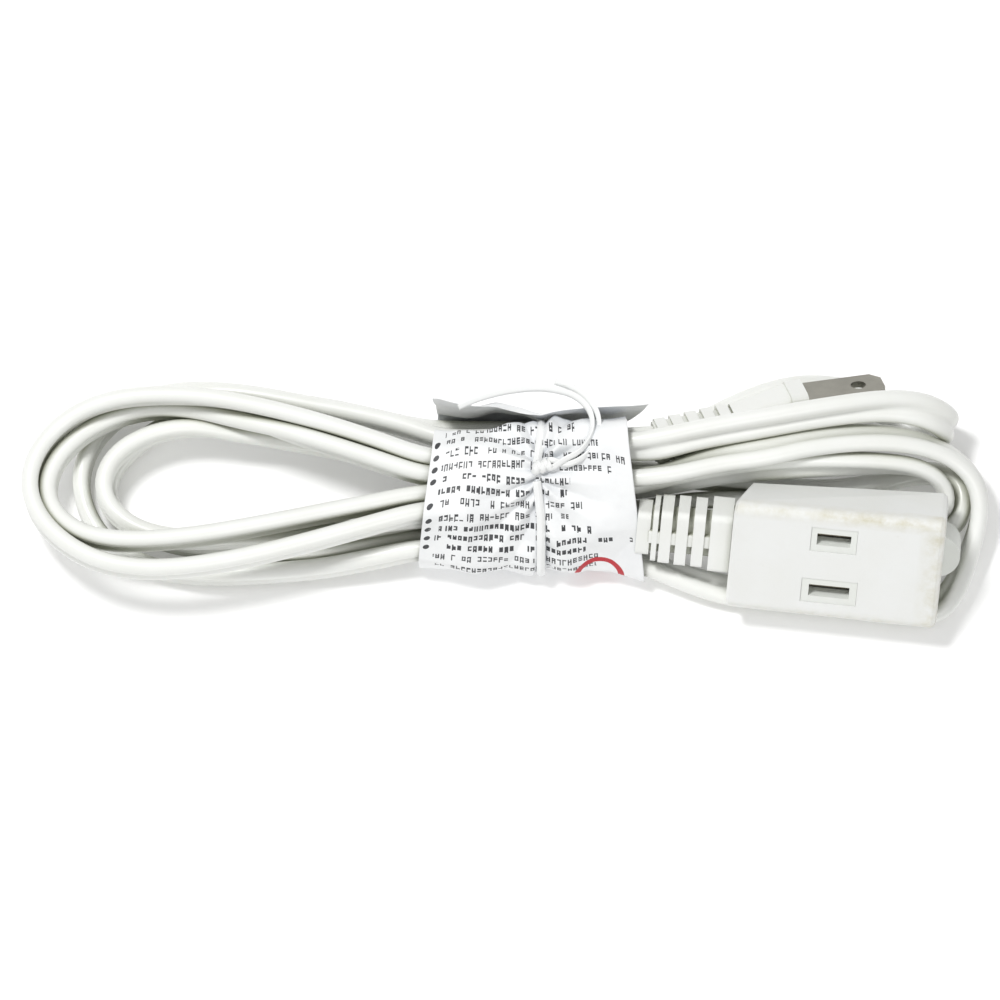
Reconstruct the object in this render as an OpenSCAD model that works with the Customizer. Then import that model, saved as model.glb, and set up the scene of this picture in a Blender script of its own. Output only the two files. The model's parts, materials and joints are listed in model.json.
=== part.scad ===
// Two-wire household extension cord, folded into a hank and held by a paper
// care label and a twist tie.
// The outlet body lies rolled on its long back edge, with the plug behind it.
// Millimetres, +Z up.  The origin is under the middle of the outlet body.

/* [Outlet body] */
// Length of the outlet body along the cord
block_len = 44.4; // [42:0.2:50]
// Width of the outlet body's face at its far end
block_w = 26.6; // [25:0.2:28]
// Width of the outlet body's face where the cord enters
block_w_cord = 25.6; // [24:0.2:27]
// Width of the outlet body's back at its far end
back_w = 22.4; // [21:0.2:24]
// Width of the outlet body's back where the cord enters
back_w_cord = 18; // [17:0.2:22]
// Thickness of the outlet body from its face to its back
block_t = 17; // [16.5:0.5:20]
// Radius of the outlet body's edges
block_r = 2; // [1.6:0.1:2.4]
// How much further the face runs towards the cord than the back does
block_slant = 3; // [2:0.5:4]
// Roll of the outlet body about its own length
block_roll = 47.5; // [30:0.5:60]

/* [Slots] */
// Distance between the two slots
slot_pitch = 12.7; // [12.7]
// Length of the line slot
line_slot_len = 7.1; // [7:0.1:7.4]
// Length of the neutral slot
neutral_slot_len = 8.5; // [8.4:0.1:8.8]
// Width of both slots
slot_w = 2.8; // [2.2:0.1:3]
// Length of the collar round the line slot
collar_len = 9.6; // [9:0.1:10]
// Width of the collar round each slot
collar_w = 5.8; // [5.4:0.1:6]

/* [End boss] */
// Radius of the round boss at the far end
boss_r = 5.2; // [4:0.1:6]
// How far the boss stands out of the far end
boss_out = 3.6; // [3:0.1:4]

/* [Outlet strain relief] */
// Length of the ribbed strain relief
relief_len = 19.8; // [18:0.2:22]
// Width across its ribs
relief_w = 13; // [12:0.2:15]
// Thickness across its ribs
relief_t = 8.8; // [8:0.2:10]

/* [Cord] */
// Width of the flat two-wire cord
cord_w = 7.2; // [6.8:0.1:7.6]
// Thickness of the cord, which is the diameter of each wire's cover
cord_t = 3.6; // [3.4:0.1:3.8]

/* [Plug] */
// Width of the plug's flange across both blades
flange_w = 16.8; // [16.6:0.2:18]
// Height of the plug's flange along the blades' width
flange_h = 9.8; // [9.6:0.2:11]
// Thickness of the plug's flange
flange_t = 3.6; // [3:0.2:4]
// Length of the tapered grip behind the flange
grip_len = 12; // [11:0.5:14]
// Length of the plug's ribbed strain relief
plug_relief_len = 17; // [16:1:22]
// Length of the blades outside the plug
blade_len = 17; // [16:0.5:18]
// Width of the line blade
line_blade_w = 6.35; // [6.2:0.05:6.4]
// Width of the neutral blade
neutral_blade_w = 7.94; // [7.8:0.02:8.1]
// Thickness of the blades
blade_t = 1.5; // [1.4:0.1:1.6]

/* [Hank] */
// Height of the left loops above the table
loops_h = 21; // [18:0.5:22]
// Height of the runs behind the outlet body
runs_h = 24; // [22:0.5:24]

/* [Label and tie] */
// Thickness of the paper label as a solid
label_t = 0.5; // [0.4:0.1:0.6]
// Diameter of the plastic twist tie
tie_d = 1.5; // [1.2:0.1:1.6]

/* [Hidden] */
$fn = 32;

// Colours
PVC = "WhiteSmoke";
CARRIER = "Snow";
BRASS = "Goldenrod";
NICKEL = "Silver";
COPPER = "Peru";
PAPER = "White";

// Clearance between pieces that are moulded or pushed together
gap = 0.05;

// Places
block_total = relief_len + block_len + boss_out;
block_x = relief_len - block_total / 2;
block_y = 0.7;
block_z = (back_w / 2 - block_r) * sin(block_roll)
    + (block_t / 2 - block_r) * cos(block_roll) + block_r;
plug_at = [-1.3, 26.9, 13];
plug_turn = [45, 8, 16];
hank_at = [-57, 7.4, 0];
hank_yaw = 6;

// Slope of the end wall that the cord enters, which crosses the body's middle
end_slope = atan2(block_slant, block_t);

// Outlet body: the inner carrier and the slots, in the body's own frame.
// X runs from the cord end to the far end, Y across the face, Z out of it.
slot_x = 21.4;
slot_y = slot_pitch / 2;
slot_shift = 0.2;
carrier_x = 10;
carrier_w = 18.6;
carrier_h = 6.2;
carrier_end = block_len - 5.5;
collar_top = block_t / 2 - 0.2;
neck_w = 8;
throat = [6, 17.4, 5.2];
pocket = [collar_len, 4.2, 4.9];
crimp_len = 4;
crimp_r = 1.35;
crimp_x = 11;
core_r = 0.75;
leaf_t = 0.5;
leaf_gap = 1.5;
tail_w = 3;

// Plug: X runs out of the face, Y across the blades, Z along their width.
grip_w = 16;
grip_h = 9.2;
grip_end_w = 10.4;
grip_end_h = 8;
relief_end_w = 8.8;
relief_end_h = 5.2;
insert = [2, 14.9, 8.2];
blade_hole_r = 1.6;
blade_hole_x = 11.7;
blade_root = 6;
blade_root_w = 4.8;
blade_tip = 2;

// Hank, in its own frame: X along it to the right, Y away from the viewer.
loop_at = [-85, 0.5];
loop_r = 22;
waist_x = [-30, 26];
waist_y = [-14, 14.5];
waist_z = [2.4, 20.4];
turn_at = [20.5, 18.5];
turn_r = 21;
// How far the leads run past their strain reliefs before the hank takes them up
lead_gap = 4;

// Label: a sleeve round the waist
label_x = [-23.5, 23];
label_y = [-17.5, 17.5];
label_z = [1.7, 22.2];

// The tie's route round the label, and its two tails
tie_x = 1.5;
tie_loop = [[0.5, 1, 23], [1.2, -6, 23.1], [1.5, -14, 22.4], [1.5, -17.8, 19],
    [1.5, -18.3, 12], [1.5, -17.6, 5], [1.5, -14, 1], [1.5, -5, 0.85],
    [1.5, 5, 0.85], [1.5, 14, 0.9], [1.5, 18.1, 5], [1.5, 18.3, 12],
    [1.3, 18, 19.5], [1, 12, 23], [0.2, 4, 23], [-0.3, 1, 24.6]];
tie_tail_a = [[0.6, 1, 24.7], [4.5, 2, 25], [9.5, 4, 25], [13, 9, 25.2], [12.5, 14.5, 25.6],
    [9, 18.5, 25.8], [2.5, 20, 25.8], [-6, 18.5, 25.2], [-15.5, 15.5, 24.6]];
tie_tail_b = [[0.6, -0.6, 24.7], [5, 0.2, 26.2], [10, 2.2, 26.6], [14.6, 8.5, 26.8],
    [14, 15, 27], [9.5, 20.2, 27], [3.5, 21.8, 27]];

// ---- shared shapes ----

function unit(v) = v / norm(v);
function tangent(path, i) =
    unit(path[min(i + 1, len(path) - 1)] - path[max(i - 1, 0)]);
function ring(p, t, ref, section) =
    let (side = unit(cross(t, ref)), up = cross(side, t))
    [for (q = section) p + side * q[0] + up * q[1]];
function round_section(r, n) =
    [for (i = [0:n - 1]) r * [cos(360 * i / n), sin(360 * i / n)]];
// A flat section with round ends, w wide and t thick, with n points on each end
function flat_section(w, t, n) =
    [for (end = [0, 1], i = [0:n - 1])
        let (a = -90 + 180 * i / (n - 1) + 180 * end)
        [(end == 0 ? 1 : -1) * (w - t) / 2 + t / 2 * cos(a), t / 2 * sin(a)]];
// A rectangle with round corners, as points
function rounded(w, h, r, n = 6) =
    [for (c = [0:3], i = [0:n])
        let (a = 90 * c + 90 * i / n, sx = c == 0 || c == 3 ? 1 : -1, sy = c < 2 ? 1 : -1)
        [sx * (w / 2 - r) + r * cos(a), sy * (h / 2 - r) + r * sin(a)]];

// A tube with the given section along the path's points
module sweep(path, section, ref) {
    n = len(section);
    m = len(path);
    points = [for (i = [0:m - 1]) each ring(path[i], tangent(path, i), ref, section)];
    sides = [for (i = [0:m - 2], j = [0:n - 1], half = [0, 1])
        let (a = i * n + j, b = i * n + (j + 1) % n)
        half == 0 ? [a, b, b + n] : [a, b + n, a + n]];
    caps = [[for (j = [n - 1:-1:0]) j], [for (j = [0:n - 1]) (m - 1) * n + j]];
    polyhedron(points, concat(sides, caps), convexity = 10);
}

// A bar along X from x0 to x1 with a rounded section, w across Y and h along Z
module bar(x0, x1, w, h, r) {
    translate([x0, 0, 0])
        rotate([90, 0, 90]) linear_extrude(x1 - x0) polygon(rounded(w, h, r));
}

// A box from one corner to the other
module span(low, high) {
    translate(low) cube(high - low);
}

module in_block() {
    translate([block_x, block_y, block_z]) rotate([block_roll, 0, 0]) children();
}

module in_plug() {
    translate(plug_at) rotate(plug_turn) children();
}

module in_hank() {
    translate(hank_at) rotate([0, 0, hank_yaw]) children();
}

// The channel that a lead runs in, along X
module cord_channel(x0, x1, turned = 0) {
    translate([x0, 0, 0]) rotate([turned, 0, 0])
        rotate([90, 0, 90]) linear_extrude(x1 - x0)
            polygon(flat_section(cord_w + 2 * gap, cord_t + 2 * gap, 9));
}

// ---- outlet body ----

// A slice of the outlet body from x0 to x1: wide at its face, narrower at its back
module slice(x0, x1, w_face, w_back, t) {
    rotate([90, 0, 90]) translate([0, 0, x0]) linear_extrude(x1 - x0) hull()
        for (s = [-1, 1]) {
            translate([s * (w_face / 2 - block_r), t / 2 - block_r]) circle(block_r);
            translate([s * (w_back / 2 - block_r), block_r - t / 2]) circle(block_r);
        }
}

// Leans what is at the cord's end so that the face runs further than the back
module lean() {
    multmatrix([[1, 0, -block_slant / block_t, block_slant / 2], [0, 1, 0, 0], [0, 0, 1, 0], [0, 0, 0, 1]])
        children();
}

module block_form() {
    soft = 1.1;
    near = 0.7;
    hull() {
        lean() slice(0, 0.1, block_w_cord - 2 * near, back_w_cord - 2 * near, block_t - 2 * near);
        lean() slice(near, near + 0.1, block_w_cord, back_w_cord, block_t);
        slice(block_len - soft - 0.1, block_len - soft, block_w, back_w, block_t);
        slice(block_len - 0.4 * soft, block_len - 0.3 * soft, block_w - 0.6 * soft, back_w - 0.6 * soft,
            block_t - 0.6 * soft);
        slice(block_len - 0.1, block_len, block_w - 2 * soft, back_w - 2 * soft, block_t - 2 * soft);
    }
}

// Half the length of the collar round the slot on side s
function collar_half(s) = (collar_len + (s < 0 ? 2 : 0)) / 2;

// The carrier's outer form, grown by g
module carrier_form(g) {
    translate([0, slot_shift, 0]) {
        span([carrier_x - g, -carrier_w / 2 - g, -carrier_h - g],
            [carrier_end + g, carrier_w / 2 + g, carrier_h + g]);
        for (s = [-1, 1])
            span([slot_x - collar_half(s) - g, s * slot_y - collar_w / 2 - g, 0],
                [slot_x + collar_half(s) + g, s * slot_y + collar_w / 2 + g, collar_top]);
    }
}

module boss_form(g) {
    span([carrier_end - 1, -neck_w / 2 - g, -carrier_h - g], [block_len - 1, neck_w / 2 + g, g]);
    translate([block_len + boss_out - boss_r, 0, -carrier_h - g])
        cylinder(r = boss_r + g, h = carrier_h + 2 * g, $fn = 64);
}

module outlet_housing() {
    color(PVC) in_block() difference() {
        block_form();
        carrier_form(gap);
        boss_form(gap);
        for (s = [-1, 1])
            translate([0, slot_shift, 0])
                span([slot_x - collar_half(s) - gap, s * slot_y - collar_w / 2 - gap, 0],
                    [slot_x + collar_half(s) + gap, s * slot_y + collar_w / 2 + gap, block_t]);
        span([throat[0], -throat[1] / 2, -throat[2] / 2], [carrier_x + 1, throat[1] / 2, throat[2] / 2]);
        cord_channel(-1, throat[0] + 1);
    }
}

// Ribs of the outlet's strain relief: start, end and share of the full size
ribs = [[-4.4, 0, 1.07], [-8, -5.6, 1], [-11.5, -9.1, 1], [-14.9, -12.5, 0.98],
    [-16.5, -15.4, 0.95], [-relief_len, -17, 0.8]];
relief_core = [9.2, 5.8];
relief_web = [3, 8.2];

module outlet_strain_relief() {
    color(PVC) in_block() difference() {
        union() {
            bar(-relief_len, block_slant * 0.5 + 0.5, relief_core[0], relief_core[1], 1.5);
            bar(-17.2, 0, relief_web[0], relief_web[1], 0.4);
            for (rib = ribs)
                bar(rib[0], rib[1], relief_w * rib[2], relief_t * rib[2], 1.4);
            // the collar follows the slanted end wall of the outlet body
            bar(-1, block_slant, relief_w * 0.9, relief_t * 0.6, 1.4);
        }
        end_wall();
        cord_channel(-relief_len - 1, block_slant + 1);
    }
}

// Everything on the far side of the slanted end wall
module end_wall() {
    translate([block_slant / 2, 0, 0]) rotate([0, -end_slope, 0]) span([0, -block_w, -2 * block_t], [block_len, block_w, 2 * block_t]);
}

module carrier_front() {
    color(CARRIER) in_block() difference() {
        intersection() {
            carrier_form(0);
            span([0, -block_w, 0], [block_len, block_w, block_t]);
        }
        contact_room();
        translate([0, slot_shift, 0]) {
            span([slot_x - line_slot_len / 2, slot_y - slot_w / 2, 0],
                [slot_x + line_slot_len / 2, slot_y + slot_w / 2, block_t]);
            span([slot_x - neutral_slot_len / 2, -slot_y - slot_w / 2, 0],
                [slot_x + neutral_slot_len / 2, -slot_y + slot_w / 2, block_t]);
        }
    }
}

module carrier_back() {
    color(CARRIER) in_block() difference() {
        intersection() {
            union() {
                carrier_form(0);
                boss_form(0);
            }
            span([0, -block_w, -block_t], [block_len + 2 * boss_out, block_w, -gap]);
        }
        contact_room();
    }
}

// Room in both carrier halves for the contacts, their tails and the crimps
module contact_room() {
    translate([0, slot_shift, 0]) for (s = [-1, 1]) {
        span([slot_x - pocket[0] / 2, s * slot_y - pocket[1] / 2, -pocket[2]],
            [slot_x + pocket[0] / 2, s * slot_y + pocket[1] / 2, pocket[2]]);
        span([carrier_x - 1, s * slot_y - pocket[1] / 2, -1.8],
            [slot_x, s * slot_y + pocket[1] / 2, 1.8]);
    }
}

// A folded brass contact: two leaves, the fold that joins them and a tail to the crimp
module contact(side) {
    color(BRASS) in_block() translate([0, slot_shift + side * slot_y, 0]) {
        len = pocket[0] - 1;
        half = leaf_gap / 2 + leaf_t;
        depth = pocket[2] - 0.3;
        difference() {
            span([slot_x - len / 2, -half, -depth], [slot_x + len / 2, half, depth]);
            span([slot_x - len, -leaf_gap / 2, -depth + leaf_t], [slot_x + len, leaf_gap / 2, depth + 1]);
        }
        span([crimp_x + crimp_len, -tail_w / 2, -leaf_t / 2], [slot_x - len / 2, tail_w / 2, leaf_t / 2]);
    }
}

module line_contact() { contact(1); }
module neutral_contact() { contact(-1); }

// A crimped sleeve on the end of a wire
module crimp(side) {
    color(BRASS) in_block() translate([crimp_x, slot_shift + side * slot_y, 0]) rotate([0, 90, 0])
        difference() {
            cylinder(r = crimp_r, h = crimp_len);
            translate([0, 0, -1]) cylinder(r = core_r + gap, h = crimp_len + 0.6);
        }
}

module line_crimp() { crimp(1); }
module neutral_crimp() { crimp(-1); }

// An insulated wire from where the cord is split to its crimp
module split_wire(side, from, to, y1, r) {
    path = [for (k = [0:5])
        let (f = k / 5, s = (1 - cos(180 * f)) / 2)
        [from + (to - from) * f, side * (cord_t / 2) + (y1 - side * cord_t / 2) * s, 0]];
    sweep(path, round_section(r, 12), [0, 0, 1]);
}

wire_r = 1.25;

module line_wire() {
    color(PVC) in_block() split_wire(1, throat[0] + 0.2, crimp_x - gap, slot_shift + slot_y, wire_r);
}

module neutral_wire() {
    color(PVC) in_block() split_wire(-1, throat[0] + 0.2, crimp_x - gap, slot_shift - slot_y, wire_r);
}

// Bare copper in both crimps
module outlet_strands() {
    color(COPPER) in_block() for (s = [-1, 1])
        translate([crimp_x, slot_shift + s * slot_y, 0]) rotate([0, 90, 0])
            cylinder(r = core_r, h = crimp_len - 0.5);
}

// ---- plug ----

module plug_form() {
    bar(-flange_t, 0, flange_w, flange_h, 2);
    hull() {
        bar(-flange_t - 0.1, -flange_t, grip_w, grip_h, 2);
        bar(-flange_t - grip_len, -flange_t - grip_len + 0.1, grip_end_w, grip_end_h, 2);
    }
}

module plug_body() {
    color(PVC) in_plug() difference() {
        plug_form();
        plug_room();
        blades(gap);
        cord_channel(-flange_t - grip_len - 1, plug_back);
    }
}

// Room inside the plug for its insert, the wires and their welds
plug_back = -13.5;
module plug_room() {
    span([-1.5 - insert[0], -insert[1] / 2, -insert[2] / 2] - [gap, gap, gap],
        [-1.5, insert[1] / 2, insert[2] / 2] + [gap, gap, gap]);
    span([-7, 0.1 - slot_y + blade_t / 2, -1.6], [-4.7, slot_y - blade_t / 2 - 0.1, 1.6]);
    span([plug_back, -3.3, -1.6], [-6.9, 3.3, 1.6]);
}

module plug_insert() {
    color(CARRIER) in_plug() difference() {
        span([-1.5 - insert[0], -insert[1] / 2, -insert[2] / 2], [-1.5, insert[1] / 2, insert[2] / 2]);
        blades(gap);
    }
}

// One blade's outline along X with chamfered tip corners, extruded through its thickness
module blade(w, g) {
    rotate([90, 0, 0]) linear_extrude(blade_t + 2 * g, center = true)
        polygon([[-blade_root, -blade_root_w / 2 - g], [-2.6, -blade_root_w / 2 - g],
            [-2.6, -w / 2 - g], [blade_len - blade_tip, -w / 2 - g],
            [blade_len, -w / 2 + blade_tip], [blade_len, w / 2 - blade_tip],
            [blade_len - blade_tip, w / 2 + g], [-2.6, w / 2 + g],
            [-2.6, blade_root_w / 2 + g], [-blade_root, blade_root_w / 2 + g]]);
}

module blades(g) {
    translate([0, slot_y, 0]) blade(neutral_blade_w, g);
    translate([0, -slot_y, 0]) blade(line_blade_w, g);
}

module drilled_blade(y, w) {
    color(NICKEL) in_plug() translate([0, y, 0]) difference() {
        blade(w, 0);
        translate([blade_hole_x, 0, 0]) rotate([90, 0, 0])
            cylinder(r = blade_hole_r, h = 3 * blade_t, center = true);
    }
}

module neutral_blade() { drilled_blade(slot_y, neutral_blade_w); }
module line_blade() { drilled_blade(-slot_y, line_blade_w); }

plug_relief_x = -flange_t - grip_len;

module plug_strain_relief() {
    color(PVC) in_plug() difference() {
        union() {
            hull() {
                bar(plug_relief_x - 0.1, plug_relief_x, grip_end_w - 1.4, grip_end_h - 1.6, 1.5);
                bar(plug_relief_x - plug_relief_len, plug_relief_x - plug_relief_len + 0.1,
                    relief_end_w - 0.8, relief_end_h - 0.4, 1.2);
            }
            for (k = [0:4]) {
                f = (k + 0.5) / 5;
                x = plug_relief_x - f * plug_relief_len;
                bar(x - 1.2, x + 1.2, grip_end_w * (1 - f) + relief_end_w * f,
                    grip_end_h * (1 - f) + relief_end_h * f, 1.2);
            }
        }
        cord_channel(plug_relief_x - plug_relief_len - 1, plug_relief_x + 1);
    }
}

module plug_wire(side) {
    color(PVC) in_plug() mirror([1, 0, 0])
        split_wire(side, 7.1, -plug_back - 0.2, side * cord_t / 2, wire_r);
}

module plug_line_wire() { plug_wire(-1); }
module plug_neutral_wire() { plug_wire(1); }

// Bare copper from the wires to the blades' roots
module plug_strands() {
    color(COPPER) in_plug() for (s = [-1, 1])
        translate([-6, s * (slot_y - blade_t / 2 - 0.15), 0]) rotate([s * 90, 0, 0])
            cylinder(r = core_r, h = slot_y - blade_t / 2 - cord_t / 2);
}

// ---- cord ----

lead_section = flat_section(cord_w, cord_t, 6);

// The lead's route through each strain relief, in its own frame
outlet_lead_route = [[throat[0], 0, 0], [-5, 0, 0], [-14, 0, 0], [-relief_len - lead_gap, 0, 0]];
plug_lead_route = [[plug_back, 0, 0], [plug_relief_x - 10, 0, 0],
    [plug_relief_x - plug_relief_len - lead_gap, 0, 0]];

module cord_outlet_lead() {
    color(PVC) in_block() sweep(outlet_lead_route, lead_section, [0, 0, 1]);
}

module cord_plug_lead() {
    color(PVC) in_plug() sweep(plug_lead_route, lead_section, [0, 0, 1]);
}

// Outer form of the folded cord: left loops, waist and the runs behind the outlet
module hank_form() {
    in_hank() {
        linear_extrude(loops_h) hull() {
            translate(loop_at) circle(loop_r, $fn = 48);
            span2([waist_x[0] - 1, waist_y[0] + 2], [waist_x[0], waist_y[1] - 2]);
        }
        span([waist_x[0] - 1, waist_y[0], waist_z[0]], [waist_x[1], waist_y[1], waist_z[1]]);
    }
    linear_extrude(runs_h) hull() {
        translate(turn_at) circle(turn_r, $fn = 48);
        translate(hank_at) rotate(hank_yaw)
            span2([waist_x[1] - 1, waist_y[0] + 6], [waist_x[1], waist_y[1]]);
    }
}

module span2(low, high) {
    translate(low) square(high - low);
}

// Space kept clear for the outlet and the plug with their strain reliefs
module nest() {
    clear = 0.3;
    in_block() {
        span([-clear, -block_w / 2 - clear, -block_t / 2 - clear],
            [block_len + boss_out + clear, block_w / 2 + clear, 2 * block_t]);
        span([-relief_len - lead_gap, -relief_w / 2 - clear, -relief_t / 2 - clear],
            [0, relief_w / 2 + clear, 2 * relief_t]);
    }
    in_plug() {
        span([-flange_t - grip_len, -flange_w / 2 - clear, -flange_h / 2 - clear],
            [blade_len + clear, flange_w / 2 + clear, flange_h / 2 + clear]);
        span([plug_relief_x - plug_relief_len - lead_gap, -grip_end_w / 2 - clear, -grip_end_h / 2 - clear],
            [0, grip_end_w / 2 + clear, grip_end_h / 2 + clear]);
    }
}

module cord_hank() {
    color(PVC) difference() {
        hank_form();
        nest();
        translate([-250, -250, -100]) cube([500, 500, 100]);
    }
}

// ---- label and tie ----

module sleeve(x0, x1, g) {
    y = (label_y[0] + label_y[1]) / 2;
    z = (label_z[0] + label_z[1]) / 2;
    translate([0, y, z])
        bar(x0, x1, label_y[1] - label_y[0] - 2 * g, label_z[1] - label_z[0] - 2 * g, 4 - g);
}

module care_label() {
    color(PAPER) in_hank() difference() {
        sleeve(label_x[0], label_x[1], 0);
        sleeve(label_x[0] - 1, label_x[1] + 1, label_t);
    }
}

module tie_runs(d, n) {
    for (path = [tie_loop, tie_tail_a, tie_tail_b])
        sweep(path, round_section(d / 2, n), [1, 0.2, 0.4]);
}

tie_core_d = 0.5;

module twist_tie() {
    color(PVC) in_hank() tie_runs(tie_d, 8);
}

module twist_tie_wire() {
    color(NICKEL) in_hank() tie_runs(tie_core_d, 6);
}

outlet_housing();
outlet_strain_relief();
carrier_front();
carrier_back();
line_contact();
neutral_contact();
line_crimp();
neutral_crimp();
line_wire();
neutral_wire();
outlet_strands();
cord_hank();
cord_outlet_lead();
cord_plug_lead();
plug_body();
plug_strain_relief();
plug_insert();
line_blade();
neutral_blade();
plug_line_wire();
plug_neutral_wire();
plug_strands();
care_label();
twist_tie();
twist_tie_wire();
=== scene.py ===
import json
import math

import bmesh
import bpy
import numpy as np
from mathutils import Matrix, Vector

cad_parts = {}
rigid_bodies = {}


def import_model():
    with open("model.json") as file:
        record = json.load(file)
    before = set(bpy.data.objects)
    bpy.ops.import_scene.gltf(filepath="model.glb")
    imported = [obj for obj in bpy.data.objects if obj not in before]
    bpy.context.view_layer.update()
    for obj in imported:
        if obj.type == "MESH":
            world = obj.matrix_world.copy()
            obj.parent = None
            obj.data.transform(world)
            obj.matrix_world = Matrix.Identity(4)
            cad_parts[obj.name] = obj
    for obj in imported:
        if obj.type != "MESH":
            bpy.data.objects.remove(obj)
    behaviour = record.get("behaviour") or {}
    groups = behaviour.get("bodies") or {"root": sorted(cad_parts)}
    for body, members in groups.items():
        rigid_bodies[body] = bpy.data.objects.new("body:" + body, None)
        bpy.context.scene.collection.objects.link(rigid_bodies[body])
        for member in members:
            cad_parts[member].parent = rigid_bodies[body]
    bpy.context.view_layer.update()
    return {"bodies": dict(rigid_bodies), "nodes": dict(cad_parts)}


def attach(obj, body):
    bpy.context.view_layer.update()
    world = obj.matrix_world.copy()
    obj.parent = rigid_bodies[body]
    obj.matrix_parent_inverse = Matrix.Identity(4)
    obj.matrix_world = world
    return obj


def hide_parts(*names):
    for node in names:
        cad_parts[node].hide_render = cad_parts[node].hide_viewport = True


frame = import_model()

MM = 0.001
rng = np.random.default_rng(7)
nodes = frame["nodes"]
BODY = list(frame["bodies"])[0]

# ---------------------------------------------------------------- frames
# Shapes are worked out in millimetres in the part's frame; MM turns them into metres.

HANK_AT = np.array([-57.0, 7.4, 0.0])
HANK_YAW = math.radians(6)
BLOCK_ROLL = math.radians(47.5)
RELIEF_LEN = 19.8
BACK_W, BLOCK_T, BLOCK_R_EDGE = 22.4, 17.0, 2.0
BLOCK_X, BLOCK_Y = -14.1, 0.7
BLOCK_Z = (
    (BACK_W / 2 - BLOCK_R_EDGE) * math.sin(BLOCK_ROLL)
    + (BLOCK_T / 2 - BLOCK_R_EDGE) * math.cos(BLOCK_ROLL)
    + BLOCK_R_EDGE
)
PLUG_AT = np.array([-1.3, 26.9, 13.0])
PLUG_TURN = [math.radians(a) for a in (45, 8, 16)]


def turn_x(a):
    c, s = math.cos(a), math.sin(a)
    return np.array([[1, 0, 0], [0, c, -s], [0, s, c]])


def turn_y(a):
    c, s = math.cos(a), math.sin(a)
    return np.array([[c, 0, s], [0, 1, 0], [-s, 0, c]])


def turn_z(a):
    c, s = math.cos(a), math.sin(a)
    return np.array([[c, -s, 0], [s, c, 0], [0, 0, 1]])


HANK_R = turn_z(HANK_YAW)
BLOCK_R = turn_x(BLOCK_ROLL)
BLOCK_AT = np.array([BLOCK_X, BLOCK_Y, BLOCK_Z])
PLUG_R = turn_z(PLUG_TURN[2]) @ turn_y(PLUG_TURN[1]) @ turn_x(PLUG_TURN[0])


def hank(*p):
    return HANK_AT + HANK_R @ np.array(p, float)


def block(*p):
    return BLOCK_AT + BLOCK_R @ np.array(p, float)


def plug(*p):
    return PLUG_AT + PLUG_R @ np.array(p, float)


# ---------------------------------------------------------------- camera

AZ, EL = math.radians(6), math.radians(75)
LENS, SENSOR = 400.0, 36.0
ACROSS = 0.210  # width of the view at the object
back = Vector((math.sin(AZ) * math.cos(EL), -math.cos(AZ) * math.cos(EL), math.sin(EL)))
right = Vector((math.cos(AZ), math.sin(AZ), 0))
up = back.cross(right)
aim = right * -0.0624 + up * 0.0129 + back * 0.004
cam_data = bpy.data.cameras.new("camera")
cam_data.lens, cam_data.sensor_width = LENS, SENSOR
cam_data.clip_start, cam_data.clip_end = 0.05, 20
camera = bpy.data.objects.new("camera", cam_data)
bpy.context.scene.collection.objects.link(camera)
camera.location = aim + back * (ACROSS * LENS / SENSOR)
camera.rotation_mode = "QUATERNION"
camera.rotation_quaternion = (-back).to_track_quat("-Z", "Y")
bpy.context.scene.camera = camera

# ---------------------------------------------------------------- the cord's route

EDGE = (0, 0, 1)  # wide side upright
FLAT = (0, 1, 0.05)  # wide side lying down
LOBE = 1.8  # radius of each of the cord's two round covers, whose middles are twice this apart

BLOCK_WIDE = tuple(BLOCK_R @ np.array([0, 1, 0]))
PLUG_WIDE = tuple(PLUG_R @ np.array([0, 1, 0]))


def in_hank(points):
    """Route points from the hank's frame, each with the way the cord's wide side faces."""
    return [(hank(*p), facing) for p, facing in points]


def in_frame(points):
    """Route points that are already in the part's frame."""
    return [(np.array(p, float), facing) for p, facing in points]


def on_edge(points):
    """Points along which the cord stands on its edge."""
    return [(p, EDGE) for p in points]


# The route, in millimetres: X, Y and height, and the way the wide side faces.
# The left loops run in the hank's frame from one side of the waist round to the other.
LOOP_5 = [
    (-22, -8.2, 4), (-38, -12, 3.6), (-49, -13.4, 3.6), (-61, -12, 3.6), (-73, -11, 3.6), (-82, -8, 3.6),
    (-88, -3.5, 3.6), (-89.5, 1.5, 3.6), (-87, 7, 3.6), (-82, 12, 3.6), (-75, 16.5, 3.6), (-66, 19.5, 3.6),
    (-57, 20.4, 3.6), (-47, 19.7, 3.6), (-36, 17.5, 3.6), (-22, 14.2, 3.6),
]
LOOP_3 = [
    (-19, 10.2, 10.5), (-23, 12, 10.6), (-34, 15, 10.8), (-46.5, 17.4, 10.6), (-58, 19.6, 10), (-68, 20.8, 9),
    (-77, 20.8, 7), (-86, 17.5, 5), (-91.6, 12.5, 4), (-94.8, 4, 3.6), (-93.5, -3.5, 3.6), (-90, -9.5, 3.6),
    (-83, -14.5, 3.6), (-73, -17, 3.6), (-62, -17.2, 3.8), (-50, -16.4, 4.4), (-42, -15.6, 5), (-32, -14, 6.5),
    (-22, -12.2, 8),
]
LOOP_2 = [
    (-21, 0, 16.4), (-32, 3.6, 17.2), (-44, 7.8, 17), (-56, 12, 14.6), (-68, 15.6, 12), (-80.5, 17, 10.8),
    (-90, 14.5, 10.6), (-97.5, 8.8, 10.8), (-101.6, 1, 11.5), (-100.5, -6, 13), (-95, -11.2, 15), (-88, -13.4, 16.8),
    (-80, -13.6, 17.5), (-68, -12.4, 17.6), (-56, -10.2, 17.4), (-44, -7.6, 17), (-32, -5, 16.5), (-21.5, -2.7, 16),
]
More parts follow.
